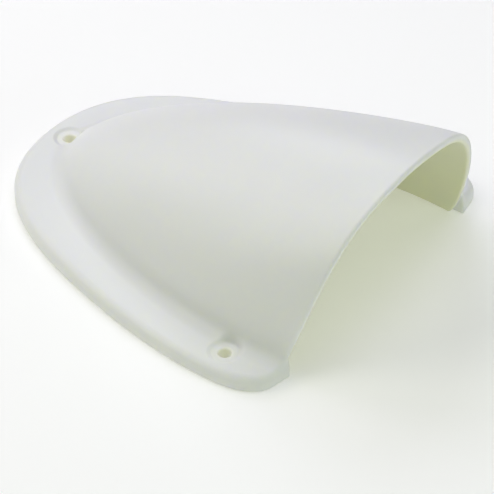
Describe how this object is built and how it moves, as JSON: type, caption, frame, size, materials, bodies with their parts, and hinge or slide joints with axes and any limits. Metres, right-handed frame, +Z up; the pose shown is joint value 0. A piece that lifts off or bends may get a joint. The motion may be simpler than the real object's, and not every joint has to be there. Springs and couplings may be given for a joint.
{
  "type": "cowl vent",
  "caption": "Low clamshell-type boat vent hood: a hollow moulded scoop, open at the mouth and underneath, on a screw-down flange.",
  "frame": {"origin": "middle of the vent's box, on the deck face under the flange", "axes": "+X out of the mouth of the hood, +Y to the hood's left seen from above with the mouth pointing away, +Z up from the deck"},
  "size_m": [0.1268, 0.1116, 0.0479],
  "materials": {
    "white_plastic": "satin"
  },
  "bodies": {
    "root": {"vent_shell": "white_plastic"}
  },
  "joints": []
}
